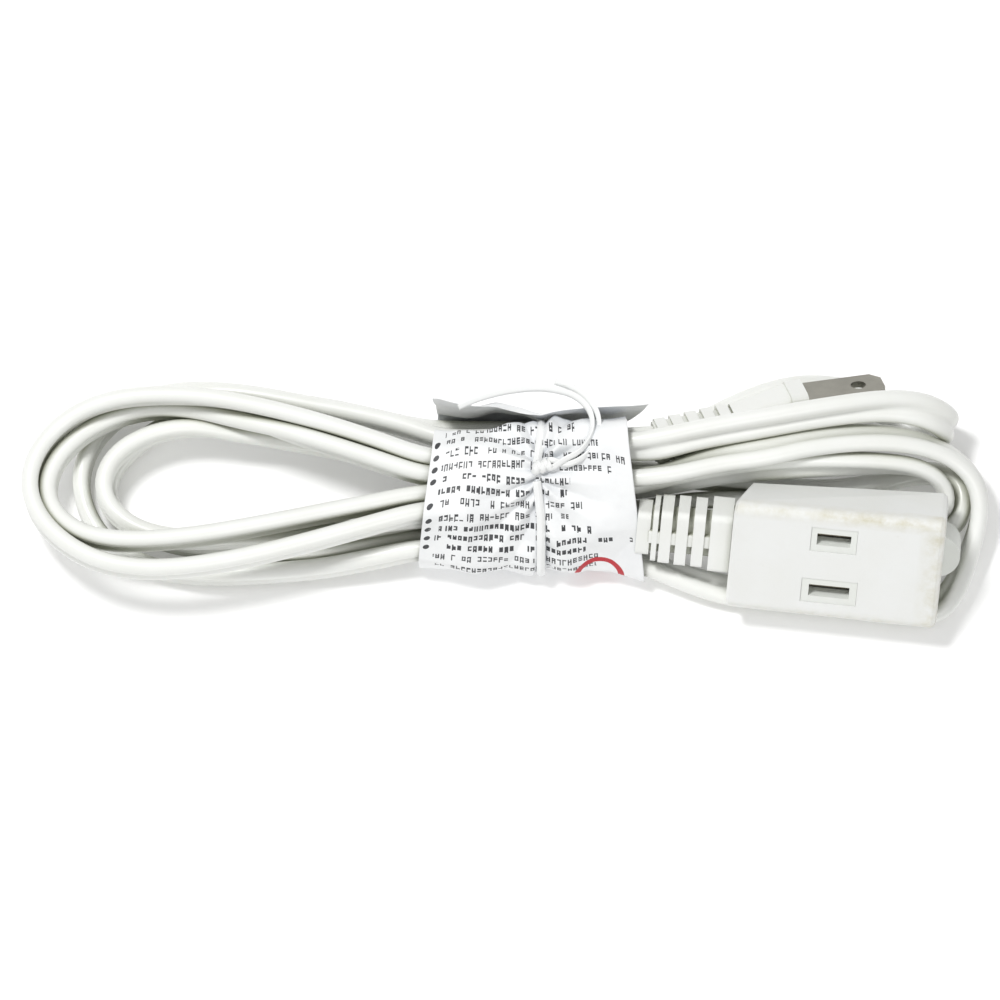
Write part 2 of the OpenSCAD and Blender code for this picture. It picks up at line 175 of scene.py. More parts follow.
LOOP_1 = [
    (-21.5, -6.9, 16.5), (-34, -10.2, 17), (-48, -14.2, 17.3), (-62, -17.6, 17.3), (-74, -19.4, 17.2), (-83, -19.4, 17),
    (-92, -17, 16.4), (-99, -12, 15.2), (-103.8, -5.5, 14), (-105, 1.2, 13.2), (-102.3, 8, 13.6), (-96.5, 13.4, 15),
    (-89, 16.4, 16.4), (-81, 17.4, 17.2), (-70, 17, 17.6), (-58, 15, 17.7), (-44, 11.6, 17.6), (-32, 7.8, 17.4),
    (-21, 4, 17.3),
]
LOOP_4 = [
    (-21.5, -7.4, 9.8), (-34, -9, 10.2), (-48, -10.4, 10.6), (-62, -11.3, 10.8), (-74, -11.4, 10.8), (-82, -9.6, 10.8),
    (-88, -5.4, 10.8), (-90.2, 0, 10.8), (-87.8, 6.4, 10.8), (-82, 10.8, 10.8), (-76, 13.2, 10.8), (-69, 14.2, 10.8),
    (-61, 13.2, 9.6), (-50, 11, 8.8), (-38, 8.4, 8.8), (-21, 3.8, 9.4),
]


# from the outlet down to the table
OUTLET_LEAD = [((16, -9.6, 13.6), (0, 0.4, 0.9)), *on_edge([(8, -9.4, 11.8), (-1, -9, 9), (-11, -8.5, 6)])]
# a low run behind the plug, up round its far end and back over the top
ARCH = [
    ((-10, 13.8, 3.6), EDGE), ((3, 13.2, 3.5), (0, 0.2, 1)), ((14, 12, 3.0), (0, 0.5, 0.85)),
    ((23, 11.4, 2.8), (0, 0.7, 0.7)), ((33, 13.6, 2.8), (0, 0.6, 0.8)), ((41, 17.8, 3), (0, 0.5, 0.85)),
    ((48.5, 21.2, 3.2), (0, 0.5, 0.85)), ((57, 23.2, 3.2), (0, 0.6, 0.8)), ((67, 22.2, 3), (0, 0.7, 0.7)),
    ((77, 18.4, 2.8), (0, 0.95, 0.3)), ((83.5, 15, 3.4), FLAT), ((87.3, 13.2, 6.4), FLAT),
    ((88.2, 12.8, 10.4), FLAT), ((86.8, 13.2, 14.6), FLAT), ((82.7, 14.6, 18), (0, 0.9, 0.4)),
    ((75, 15, 20.4), (0, 0.6, 0.8)), ((62, 13.2, 22), (0, 0.5, 0.87)), ((50, 11.2, 22), (0, 0.5, 0.87)),
    ((39.7, 10, 21.4), (0, 0.45, 0.9)), ((31, 8.9, 20.6), (0, 0.3, 0.95)), ((22.5, 7.6, 19.2), (0, 0.1, 1)),
    *on_edge([(12, 7.6, 17.4), (1, 8.8, 15), (-10, 9.6, 12.3)]),
]
# a low run in front of the outlet's lower edge
FRONT_RUN = [
    *on_edge([(-10, -12.8, 6.5), (2, -13.3, 5)]), ((13, -13.7, 4), (0, -0.3, 0.95)),
    ((23, -14.2, 3.4), (0, -0.5, 0.85)), ((30, -16.6, 3.1), (0, -0.7, 0.7)), ((38, -19, 3), (0, -0.74, 0.67)),
]
# on under the outlet, round its far end and back behind it
ROUND_OUTLET = [
    ((-8, -7.8, 3), (0, -0.74, 0.67)), ((8, -7.8, 3), (0, -0.74, 0.67)), ((20, -7.8, 3), (0, -0.74, 0.67)),
    ((25.6, -7.2, 3), (0.1, -0.74, 0.67)), ((30.2, -5.2, 3.2), (0.45, -0.5, 0.74)), ((32.6, -1.2, 3.5), (0.3, 0, 0.95)),
    *on_edge([(34.4, 4.2, 4), (36, 10, 5.2), (36, 16.6, 7.6)]),
    ((32.6, 21.4, 10.4), (0, -0.2, 0.97)), ((27, 23.8, 13.2), (0, -0.5, 0.85)), ((19, 24.4, 16), (0, -0.7, 0.7)),
    ((9, 23.2, 18), (0, -0.85, 0.5)), ((-1, 20.6, 19.2), (0, -0.9, 0.4)), ((-10, 17.6, 19.4), (0, -0.9, 0.4)),
]
HIGH_RUN = [
    ((39, 4.4, 18.8), (0, -0.85, 0.5)), ((30, 2.4, 18), (0, -0.7, 0.7)), ((21, 0.8, 17.3), (0, -0.4, 0.9)),
    *on_edge([(10, 0.4, 17), (0, 0.2, 16.7), (-10, 0.1, 16.4)]),
]
# out above the outlet's upper edge, and back in under itself behind the outlet
MIDDLE_RUN = on_edge([(-10, -2.5, 15.2), (2, -2, 13.6), (13, -1, 12), (22, 0, 11)])
MIDDLE_TURN = [
    ((-26, 12.4, 12.4), EDGE), ((-14, 15, 14.6), (0, 0.3, 0.95)), ((-2, 17, 15.6), (0, 0.4, 0.9)),
    ((8, 18.4, 14.6), (0, 0.3, 0.95)), ((17, 19.8, 12.8), EDGE), ((24, 20.2, 11), (0, -0.2, 0.97)),
    ((29, 18.6, 9), (0, -0.4, 0.9)), ((31, 15, 6.8), (0, -0.4, 0.9)), ((30, 11.6, 4.6), (0, -0.2, 0.97)),
    *on_edge([(25.5, 10.2, 3.7), (15, 10.2, 3.6), (0, 10.3, 3.6), (-18, 9.8, 3.6)]),
]
MIDDLE_BACK = on_edge([(28, -2.6, 3.6), (20, -4, 3.8), (10, -4.6, 6), (-1, -5.4, 10), (-11, -6.2, 14)])
# the lowest turn, on the table behind the outlet
LOW_RUN = on_edge([(-10, 4.3, 16.5), (1, 4.6, 14.5), (12, 4.4, 12), (22, 4, 9.5)])
LOW_TURN = on_edge([
    (-25, 13.6, 7), (-13, 14.4, 5), (2, 14.6, 3.8), (14, 17, 3.6), (23, 20.4, 3.6), (30, 20.6, 3.6),
    (34.2, 16.6, 3.6), (33.6, 11, 3.6), (28.4, 7.4, 3.6), (18, 6.7, 3.6), (0, 6.6, 3.6), (-20, 6, 3.6),
])
LOW_BACK = on_edge([(29, -6, 3.6), (21, -7.4, 3.6), (11, -7.8, 4.5), (0, -7.8, 6.5), (-11, -7.7, 8.6)])
# from the waist to the plug
PLUG_LEAD = [((-10, 5.5, 9.6), EDGE), ((2, 7, 10.5), (0, 0.3, 0.95)), ((12, 7.6, 13.2), (0, 0.6, 0.8))]


def route():
    """The cord's route from inside the outlet to inside the plug, with the way its wide side faces."""
    p = [(block(x, 0, 0), BLOCK_WIDE) for x in (6, -2, -10, -16, -RELIEF_LEN)]
    p += in_hank(OUTLET_LEAD + on_edge(LOOP_5) + ARCH + on_edge(LOOP_3) + FRONT_RUN)
    p += in_frame(ROUND_OUTLET) + in_hank(HIGH_RUN + on_edge(LOOP_2) + MIDDLE_RUN)
    p += in_frame(MIDDLE_TURN) + in_hank(MIDDLE_BACK + on_edge(LOOP_1) + LOW_RUN)
    p += in_frame(LOW_TURN) + in_hank(LOW_BACK + on_edge(LOOP_4) + PLUG_LEAD)
    return p + [(plug(x, 0, 0), PLUG_WIDE) for x in (-37, -31, -24, -18, -13.4)]


def spline(points, step):
    """Centripetal Catmull-Rom through the points, resampled at an even step."""
    q = np.array(points, float)
    q = np.vstack([2 * q[0] - q[1], q, 2 * q[-1] - q[-2]])
    out = []
    for i in range(1, len(q) - 2):
        a, b, c, d = q[i - 1 : i + 3]
        t0 = 0.0
        t1 = t0 + np.linalg.norm(b[:3] - a[:3]) ** 0.5
        t2 = t1 + np.linalg.norm(c[:3] - b[:3]) ** 0.5
        t3 = t2 + np.linalg.norm(d[:3] - c[:3]) ** 0.5
        for t in np.linspace(t1, t2, 16, endpoint=False):
            a1 = (t1 - t) / (t1 - t0) * a + (t - t0) / (t1 - t0) * b
            a2 = (t2 - t) / (t2 - t1) * b + (t - t1) / (t2 - t1) * c
            a3 = (t3 - t) / (t3 - t2) * c + (t - t2) / (t3 - t2) * d
            b1 = (t2 - t) / (t2 - t0) * a1 + (t - t0) / (t2 - t0) * a2
            b2 = (t3 - t) / (t3 - t1) * a2 + (t - t1) / (t3 - t1) * a3
            out.append((t2 - t) / (t2 - t1) * b1 + (t - t1) / (t2 - t1) * b2)
    out.append(q[-2])
    out = np.array(out)
    s = np.concatenate([[0], np.cumsum(np.linalg.norm(np.diff(out[:, :3], axis=0), axis=1))])
    n = int(round(s[-1] / step))
    at = np.linspace(0, s[-1], n + 1)
    return np.column_stack([np.interp(at, s, out[:, k]) for k in range(out.shape[1])]), s[-1]


def smooth(a, times, keep=0):
    """Rounds off a run of points, leaving its ends and the next few points as they are."""
    a = a.copy()
    for _ in range(times):
        m = (a[:-2] + 2 * a[1:-1] + a[2:]) / 4
        if keep:
            a[1 + keep : -1 - keep] = m[keep:-keep]
        else:
            a[1:-1] = m
    return a


def unit(a):
    return a / np.maximum(np.linalg.norm(a, axis=-1, keepdims=True), 1e-9)


def frames(c, w):
    """Directions along a line, and its wide sides made square to them."""
    t = np.empty_like(c)
    t[1:-1] = c[2:] - c[:-2]
    t[0], t[-1] = c[1] - c[0], c[-1] - c[-2]
    t = unit(t)
    w = unit(w - (w * t).sum(1, keepdims=True) * t)
    return t, w


def push_box(p, at, turn, low, high, grow):
    """How far to move points that are inside a box, grown, so that they are outside it."""
    q = (p - at) @ turn
    low, high = np.array(low, float), np.array(high, float)
    near = np.clip(q, low, high)
    d = q - near
    dist = np.linalg.norm(d, axis=1)
    move = np.zeros_like(q)
    outside = (dist > 1e-6) & (dist < grow)
    move[outside] = d[outside] / dist[outside, None] * (grow - dist[outside, None])
    inside = dist <= 1e-6
    if inside.any():
        gap = np.stack([q[inside] - low, high - q[inside]], axis=2)
        flat = gap.reshape(len(gap), -1)
        pick = flat.argmin(1)
        m = np.zeros((len(gap), 3))
        axis, side = pick // 2, pick % 2
        m[np.arange(len(gap)), axis] = np.where(side == 0, -1, 1) * (flat.min(1) + grow)
        move[inside] = m
    return move @ turn.T


# Boxes that the cord keeps out of: the outlet with its relief and boss, then the plug with its blades
BLOCKS = [
    (BLOCK_AT, BLOCK_R, (0.5, -12.8, 0), (44, 12.8, 8.4)),
    (BLOCK_AT, BLOCK_R, (2.5, -10.8, -8.4), (44, 10.8, 0)),
    (BLOCK_AT, BLOCK_R, (-16.6, -6.6, -4.5), (1, 6.6, 4.5)),
    (BLOCK_AT, BLOCK_R, (-RELIEF_LEN, -5.3, -3.6), (-16.6, 5.3, 3.6)),
    (BLOCK_AT, BLOCK_R, (43.6, -5, -6.2), (48, 5, 0)),
    (PLUG_AT, PLUG_R, (-3.6, -8.4, -4.9), (0, 8.4, 4.9)),
    (PLUG_AT, PLUG_R, (-10, -7.5, -4.5), (-3.6, 7.5, 4.5)),
    (PLUG_AT, PLUG_R, (-15.6, -5.7, -4.1), (-10, 5.7, 4.1)),
    (PLUG_AT, PLUG_R, (-32.6, -4.7, -3.2), (-15.6, 4.7, 3.2)),
    (PLUG_AT, PLUG_R, (0, 5.6, -4), (17, 7.1, 4)),
    (PLUG_AT, PLUG_R, (0, -7.1, -3.2), (17, -5.6, 3.2)),
]


HELD = 14  # points at each end that stay inside the outlet and the plug
FREE_OF_BLOCKS = 22  # points at each end that may touch the outlet and the plug
SKIP = 7  # neighbours along the cord that aren't tested against each other
NEED = 2 * LOBE + 0.04  # distance that two covers' middles keep
CELL = 9.0
WAIST_HALF, WAIST_LIFT = 25, 0.32  # room for the label's paper under the waist


def close_pairs(beads, n):
    """Pairs of cover middles that are near enough to touch, found through a grid of cells."""
    cells = {}
    for b, cell in enumerate(map(tuple, np.floor(beads / CELL).astype(int))):
        cells.setdefault(cell, []).append(b)
    around_it = [(i, j, l) for i in (-1, 0, 1) for j in (-1, 0, 1) for l in (-1, 0, 1)]
    first, second = [], []
    for cell, members in cells.items():
        for o in around_it:
            other = cells.get((cell[0] + o[0], cell[1] + o[1], cell[2] + o[2]))
            if other is None:
                continue
            a, b = np.meshgrid(np.array(members), np.array(other), indexing="ij")
            apart = (a < b) & (np.abs(a % n - b % n) > SKIP)
            a, b = a[apart], b[apart]
            near = np.linalg.norm(beads[a] - beads[b], axis=1) < NEED + 2.5
            first.append(a[near])
            second.append(b[near])
    return np.concatenate(first), np.concatenate(second)


def part_covers(beads, first, second):
    """How far each cover moves so that touching covers come apart."""
    d = beads[first] - beads[second]
    dist = np.linalg.norm(d, axis=1)
    hit = dist < NEED
    push = d[hit] / np.maximum(dist[hit, None], 1e-6) * (NEED - dist[hit, None]) * 0.42
    move = np.zeros_like(beads)
    count = np.zeros(len(beads))
    for side, sign in ((first, 1), (second, -1)):
        np.add.at(move, side[hit], sign * push)
    for side in (first, second):
        np.add.at(count, side[hit], 1)
    return move / np.maximum(count, 1)[:, None] ** 0.5


def settle(c0, w0, steps):
    """Moves the cord's two round covers apart where they overlap, and off the table, the outlet and the plug."""
    c, w = c0.copy(), w0.copy()
    n = len(c)
    free = np.ones(n)
    free[:HELD] = free[-HELD:] = 0
    outside = np.ones(2 * n, bool)
    outside[:FREE_OF_BLOCKS] = outside[n - FREE_OF_BLOCKS : n + FREE_OF_BLOCKS] = outside[-FREE_OF_BLOCKS:] = False
    for k in range(steps):
        t, w = frames(c, w)
        beads = np.vstack([c + LOBE * w, c - LOBE * w])
        if k % 8 == 0:
            first, second = close_pairs(beads, n)
        move = part_covers(beads, first, second)
        sub = beads[outside]
        off = np.zeros_like(sub)
        for at, turn, low, high in BLOCKS:
            off += push_box(sub, at, turn, low, high, LOBE + 0.1)
        move[outside] += off * 0.7
        along = (beads - HANK_AT) @ HANK_R[:, 0]
        floor_z = LOBE + 0.03 + np.where(np.abs(along) < WAIST_HALF, WAIST_LIFT, 0)
        under = beads[:, 2] < floor_z
        move[under, 2] += (floor_z - beads[:, 2])[under] * 0.8
        top, low_side = move[:n], move[n:]
        c = c + (top + low_side) * 0.5 * free[:, None]
        w = w + (top - low_side) / (2 * LOBE) * 0.5 * free[:, None]
        offset = smooth(c - c0, 2)
        offset *= 1 - (0.012 if k < steps * 0.7 else 0.002)
        c = c0 + offset * free[:, None]
        w = smooth(w + (w0 - w) * 0.01, 1)
    t, w = frames(c, w)
    beads = np.vstack([c + LOBE * w, c - LOBE * w])
    d = np.linalg.norm(beads[first] - beads[second], axis=1)
    return c, w, float(max(0, NEED - d.min())), int((d < NEED - 0.3).sum())


table = np.array([[*p, *unit(np.array(facing, float))] for p, facing in route()])
line, total = spline(table, 1.5)
centre, wide = smooth(line[:, :3], 6, 12), unit(line[:, 3:])
for i in range(1, len(wide)):
    if wide[i] @ wide[i - 1] < 0:
        wide[i] = -wide[i]
centre, wide, worst, many = settle(centre, wide, 160)
length = float(np.linalg.norm(np.diff(centre, axis=0), axis=1).sum())
print("cord length mm", round(total, 1), "settled", round(length, 1), "worst overlap", round(worst, 2), "pairs", many)

# ---------------------------------------------------------------- meshes


def link(mesh, name):
    """A smooth-shaded object with its faces turned outwards."""
    bm = bmesh.new()
    bm.from_mesh(mesh)
    bmesh.ops.recalc_face_normals(bm, faces=bm.faces)
    bm.to_mesh(mesh)
    bm.free()
    o = bpy.data.objects.new(name, mesh)
    bpy.context.scene.collection.objects.link(o)
    for poly in mesh.polygons:
        poly.use_smooth = True
    return o


def tube(name, line, wide, section):
    """A mesh swept along a line in millimetres. section is a list of (across the wide side, across the thin side)."""
    t, w = frames(np.array(line, float), np.array(wide, float))
    thin = np.cross(t, w)
    sec = np.array(section, float)
    n, m = len(line), len(sec)
    verts = line[:, None, :] + (w[:, None, :] * sec[None, :, :1] + thin[:, None, :] * sec[None, :, 1:])
    verts = verts.reshape(-1, 3) * MM
    faces = []
    for i in range(n - 1):
        for j in range(m):
            a, b = i * m + j, i * m + (j + 1) % m
            faces.append((a, b, b + m, a + m))
    faces.append(tuple(range(m - 1, -1, -1)))
    faces.append(tuple((n - 1) * m + j for j in range(m)))
    mesh = bpy.data.meshes.new(name)
    mesh.from_pydata(verts.tolist(), [], faces)
    uv = mesh.uv_layers.new(name="along")
    s = np.concatenate([[0], np.cumsum(np.linalg.norm(np.diff(line, axis=0), axis=1))])
    loop_verts = np.zeros(len(mesh.loops), int)
    mesh.loops.foreach_get("vertex_index", loop_verts)
    flat = np.column_stack([s[loop_verts // m] * MM, (loop_verts % m) / m])
    uv.data.foreach_set("uv", flat.ravel())
    mesh.update()
    return link(mesh, name)


def cord_section(half=16):
    """Two round covers joined by a narrow web: half of it as points, then mirrored."""
    out = []
    web = 1.02
    for k in range(half + 1):
        a = math.pi * (0.5 - k / half)
        y = 2 * LOBE * math.sin(a)
        d = abs(y) - LOBE
        h = math.sqrt(max(LOBE**2 - d * d, 0)) if abs(y) > 0.05 else web
        h = max(h, web - 0.9 * abs(y)) if abs(y) < 0.8 else h
        out.append((y, h))
    for k in range(half - 1, 0, -1):
        out.append((out[k][0], -out[k][1]))
    return out


# ---------------------------------------------------------------- materials


class Look:
    """Builds one procedural material."""

    def __init__(self, name, colour, rough, **sockets):
        self.mat = bpy.data.materials.new(name)
        self.mat.use_nodes = True
        self.t = self.mat.node_tree
        self.shader = self.t.nodes["Principled BSDF"]
        self.shader.inputs["Base Color"].default_value = (*colour, 1)
        self.shader.inputs["Roughness"].default_value = rough
        for k, v in sockets.items():
            self.shader.inputs[k.replace("_", " ")].default_value = v
        self.coords = self.t.nodes.new("ShaderNodeTexCoord")
        self.last_bump = None

    def noise(self, scale, detail=2.0, rough=0.5, stretch=None):
        n = self.t.nodes.new("ShaderNodeTexNoise")
        n.inputs["Scale"].default_value = scale
        n.inputs["Detail"].default_value = detail
        n.inputs["Roughness"].default_value = rough
        src = self.coords.outputs["Object"]
        if stretch:
            m = self.t.nodes.new("ShaderNodeMapping")
            m.inputs["Scale"].default_value = stretch
            self.t.links.new(src, m.inputs["Vector"])
            src = m.outputs["Vector"]
        self.t.links.new(src, n.inputs["Vector"])
        return n.outputs["Fac"]

    def ramp(self, value, stops):
        r = self.t.nodes.new("ShaderNodeValToRGB")
        els = r.color_ramp.elements
        while len(els) < len(stops):
            els.new(0.5)
        for e, (at, c) in zip(els, stops):
            e.position = at
            e.color = (*c, 1) if len(c) == 3 else c
        self.t.links.new(value, r.inputs["Fac"])
        return r.outputs["Color"]

    def math(self, kind, a, b=None, clamp=False):
        m = self.t.nodes.new("ShaderNodeMath")
        m.operation = kind
        m.use_clamp = clamp
        for k, x in enumerate((a, b)):
            if x is None:
                continue
            if isinstance(x, (int, float)):
                m.inputs[k].default_value = x
            else:
                self.t.links.new(x, m.inputs[k])
        return m.outputs[0]

    def mix(self, fac, a, b, kind="MIX"):
        m = self.t.nodes.new("ShaderNodeMix")
        m.data_type = "RGBA"
        m.blend_type = kind
        for k, x in ((0, fac), (6, a), (7, b)):
            if isinstance(x, (int, float)):
                m.inputs[k].default_value = x
            elif isinstance(x, tuple):
                m.inputs[k].default_value = (*x, 1)
            else:
                self.t.links.new(x, m.inputs[k])
        return m.outputs[2]

    def bump(self, height, strength, distance):
        b = self.t.nodes.new("ShaderNodeBump")
        b.inputs["Strength"].default_value = strength
        b.inputs["Distance"].default_value = distance
        self.t.links.new(height, b.inputs["Height"])
        if self.last_bump is not None:
            self.t.links.new(self.last_bump, b.inputs["Normal"])
        self.last_bump = b.outputs["Normal"]
        self.t.links.new(self.last_bump, self.shader.inputs["Normal"])

    def into(self, socket, value):
        self.t.links.new(value, self.shader.inputs[socket])


def tinted(colour, by):
    return tuple(c * f for c, f in zip(colour, by))


def vinyl(name, colour, rough, scuffs, grain):
    """Moulded or extruded white vinyl: faint mottling, scuffs in the gloss and a fine grain."""
    k = Look(name, colour, rough, Specular_IOR_Level=0.45)
    mottle = k.noise(90, 4, 0.6)
    col = k.ramp(mottle, [(0.3, tinted(colour, (0.965, 0.962, 0.945))), (0.72, colour)])
    spots = k.ramp(k.noise(420, 3, 0.7), [(0.66, (0, 0, 0)), (0.8, (1, 1, 1))])
    col = k.mix(k.math("MULTIPLY", spots, 0.28 * scuffs), col, tinted(colour, (0.78, 0.77, 0.71)))
    k.into("Base Color", col)
    gloss = k.noise(260, 3, 0.6)
    k.into("Roughness", k.math("ADD", k.math("MULTIPLY", gloss, 0.22), rough - 0.11, clamp=True))
    k.bump(k.noise(2600, 2, 0.6), grain, 0.00006)
    k.bump(k.noise(160, 2, 0.5), 0.25, 0.00022)
    return k


cord_look = vinyl("cord_vinyl", (0.865, 0.875, 0.85), 0.38, 0.35, 0.2)
cord_look.shader.inputs["Coat Weight"].default_value = 0.25
cord_look.shader.inputs["Coat Roughness"].default_value = 0.2
body_look = vinyl("outlet_vinyl", (0.83, 0.84, 0.83), 0.5, 0.9, 0.6)
relief_look = vinyl("relief_vinyl", (0.84, 0.85, 0.83), 0.48, 0.6, 0.5)
plug_look = vinyl("plug_vinyl", (0.85, 0.86, 0.84), 0.48, 0.6, 0.5)
# painted shade: the carrier's white, seen as the boss at the outlet's far end, is made darker and greyer-green than the
# body
carrier_shaded_look = vinyl("carrier_plastic", (0.80, 0.82, 0.79), 0.36, 0.3, 0.2)
wire_look = vinyl("wire_vinyl", (0.84, 0.85, 0.81), 0.42, 0.2, 0.2)


def paint_crevice_shade(k, tint, reach):
    """Painted shade: darkens the colour towards the tint where surfaces lie close together, as found by ambient
    occlusion.
    """
    ao = k.t.nodes.new("ShaderNodeAmbientOcclusion")
    ao.inputs["Distance"].default_value = reach
    ao.samples = 4
    painted_shade = k.ramp(ao.outputs["AO"], [(0.22, tint), (0.8, (1, 1, 1))])
    k.into("Base Color", k.mix(1.0, k.shader.inputs["Base Color"].links[0].from_socket, painted_shade, "MULTIPLY"))


# painted shade: olive-grey darkening of the cord, relief and plug wherever they lie close together
for look in (cord_look, relief_look, plug_look):
    paint_crevice_shade(look, (0.5, 0.51, 0.43), 0.004)


def worn_rims(k):
    """Yellowed, speckled rims on the outlet body, placed in the body's own frame."""
    sub = k.t.nodes.new("ShaderNodeVectorMath")
    sub.operation = "SUBTRACT"
    sub.inputs[1].default_value = tuple(BLOCK_AT * MM)
    k.t.links.new(k.coords.outputs["Object"], sub.inputs[0])
    turn = k.t.nodes.new("ShaderNodeVectorRotate")
    turn.rotation_type = "X_AXIS"
    turn.inputs["Angle"].default_value = -BLOCK_ROLL
    k.t.links.new(sub.outputs[0], turn.inputs["Vector"])
    axes = k.t.nodes.new("ShaderNodeSeparateXYZ")
    k.t.links.new(turn.outputs[0], axes.inputs[0])
    along, across, out_of = axes.outputs

    def rim(value, at, reach):
        away = k.math("ABSOLUTE", k.math("SUBTRACT", value, at))
        return k.math("SUBTRACT", 1.0, k.math("DIVIDE", away, reach), clamp=True)

    face = k.math("GREATER_THAN", out_of, 0.0052)
    ridge = k.math("MULTIPLY", rim(across, 0.0122, 0.0022), rim(out_of, 0.0078, 0.0035))
    low_ridge = k.math("MULTIPLY", rim(across, -0.0124, 0.002), rim(out_of, 0.0078, 0.003))
    far = k.math("MULTIPLY", rim(along, 0.0432, 0.0042), face)
    mask = k.math("MAXIMUM", k.math("MAXIMUM", ridge, k.math("MULTIPLY", low_ridge, 0.6)), far)
    patchy = k.math("MULTIPLY", k.noise(380, 4, 0.75), k.noise(95, 3, 0.6))
    mask = k.math("MULTIPLY", mask, k.math("MULTIPLY", k.math("SUBTRACT", patchy, 0.12, clamp=True), 3.4), clamp=True)
    base = k.shader.inputs["Base Color"].links[0].from_socket
    k.into("Base Color", k.mix(mask, base, (0.62, 0.59, 0.46)))


worn_rims(body_look)


def metal(name, colour, rough, brushed=(40, 1, 1)):
    """Bare metal with a dull mottling and fine streaks."""
    k = Look(name, colour, rough, Metallic=1.0)
    streak = k.noise(900, 3, 0.7, stretch=brushed)
    dull = k.noise(140, 3, 0.6)
    col = k.ramp(dull, [(0.25, tinted(colour, (0.78,) * 3)), (0.7, colour)])
    k.into("Base Color", col)
    k.into("Roughness", k.math("ADD", k.math("MULTIPLY", streak, 0.3), rough - 0.12, clamp=True))
    k.bump(streak, 0.25, 0.00003)
    return k


blade_look = metal("blade_nickel", (0.33, 0.32, 0.28), 0.36, (1, 14, 14))
brass_look = metal("contact_brass", (0.40, 0.36, 0.26), 0.4)
copper_look = metal("strand_copper", (0.72, 0.40, 0.24), 0.35, (1, 30, 30))
steel_look = metal("tie_steel", (0.5, 0.5, 0.5), 0.4)

LOOKS = (
    (body_look, "outlet_housing"),
    (relief_look, "outlet_strain_relief"),
    (carrier_shaded_look, "carrier_front", "carrier_back", "plug_insert"),
    (brass_look, "line_contact", "neutral_contact", "line_crimp", "neutral_crimp"),
    (wire_look, "line_wire", "neutral_wire", "plug_line_wire", "plug_neutral_wire"),
    (copper_look, "outlet_strands", "plug_strands"),
    (plug_look, "plug_body", "plug_strain_relief"),
    (blade_look, "line_blade", "neutral_blade"),
    (steel_look, "twist_tie_wire"),
)
for look, *names in LOOKS:
    for name in names:
        o = nodes[name]
        if not o.data.materials:
            o.data.materials.append(look.mat)
        for s in o.material_slots:
            s.link = "OBJECT"
            s.material = look.mat


def dress(o, look, slot_name, *hidden):
    """Gives a new piece its material and its body, and hides the CAD nodes that it stands for."""
    o.data.materials.append(look.mat)
    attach(o, BODY)
    if hidden:
        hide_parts(*hidden)


# ---------------------------------------------------------------- cord

path = smooth(centre, 3, 14)
cord = tube("cord", path, wide, cord_section())
dress(cord, cord_look, "cord_pvc", "cord_hank", "cord_outlet_lead", "cord_plug_lead")

# ---------------------------------------------------------------- label

beads = np.vstack([path + LOBE * wide, path - LOBE * wide])
local = (beads - HANK_AT) @ HANK_R
MID_V, MID_Z = -0.5, 10.0  # the waist's middle, in the hank's frame
U0, U1 = -21.6, 21.4  # the label's two edges along the waist
COLS, ROWS = 150, 330
ANGLES = 72
TIE_U = 1.8
KNOT_DOWN = 11.0  # from the sheet's lower end up to the knot
START, SWEEP = 46.0, 366.0  # degrees round the waist


def bundle_outline(u):
    """Support of the bundle's cords round its middle, at one place along the waist."""
    near = local[np.abs(local[:, 0] - u) < 2.2]
    v, z = near[:, 1] - MID_V, near[:, 2] - MID_Z
    a = np.linspace(0, 2 * math.pi, ANGLES, endpoint=False)
    return (np.cos(a)[:, None] * v[None, :] + np.sin(a)[:, None] * z[None, :]).max(1) + LOBE


stations = np.linspace(U0, U1, 24)
support = np.array([bundle_outline(u) for u in stations])
for _ in range(3):
    support[1:-1] = (support[:-2] + 2 * support[1:-1] + support[2:]) / 4


def outline_at(u, grow):
    """The taut outline round the bundle at u, as points (v, z) every few degrees."""
    k = (u - U0) / (U1 - U0) * (len(stations) - 1)
    i = int(min(max(math.floor(k), 0), len(stations) - 2))
    h = support[i] * (1 - (k - i)) + support[i + 1] * (k - i) + grow
    a = np.linspace(0, 2 * math.pi, ANGLES, endpoint=False)
    dh = (np.roll(h, -1) - np.roll(h, 1)) / (2 * (a[1] - a[0]))
    v = h * np.cos(a) - dh * np.sin(a) + MID_V
    z = h * np.sin(a) + dh * np.cos(a) + MID_Z
    pts = np.column_stack([v, z])
    for _ in range(2):
        pts = (np.roll(pts, 1, 0) + 2 * pts + np.roll(pts, -1, 0)) / 4
    return pts


def around(u, grow, n, start, sweep):
    """n points on the outline, going clockwise as seen from +X from a start angle in degrees."""
    p = outline_at(u, grow)
    ang = np.unwrap(np.arctan2(p[:, 1] - MID_Z, p[:, 0] - MID_V))
    order = np.argsort(ang % (2 * math.pi))
    q, g = p[order], (ang % (2 * math.pi))[order]
    q, g = np.vstack([q[-1:], q, q[:1]]), np.concatenate([[g[-1] - 2 * math.pi], g, [g[0] + 2 * math.pi]])
    want = np.radians(start - sweep * np.linspace(0, 1, n))
    w = want % (2 * math.pi)
    return np.column_stack([np.interp(w, g, q[:, 0]), np.interp(w, g, q[:, 1])])


folds = []
for _ in range(34):
    a = rng.uniform(0, math.pi)
    folds.append((math.cos(a), math.sin(a), rng.uniform(-46, 46), rng.uniform(-0.11, 0.11), rng.uniform(3, 9)))


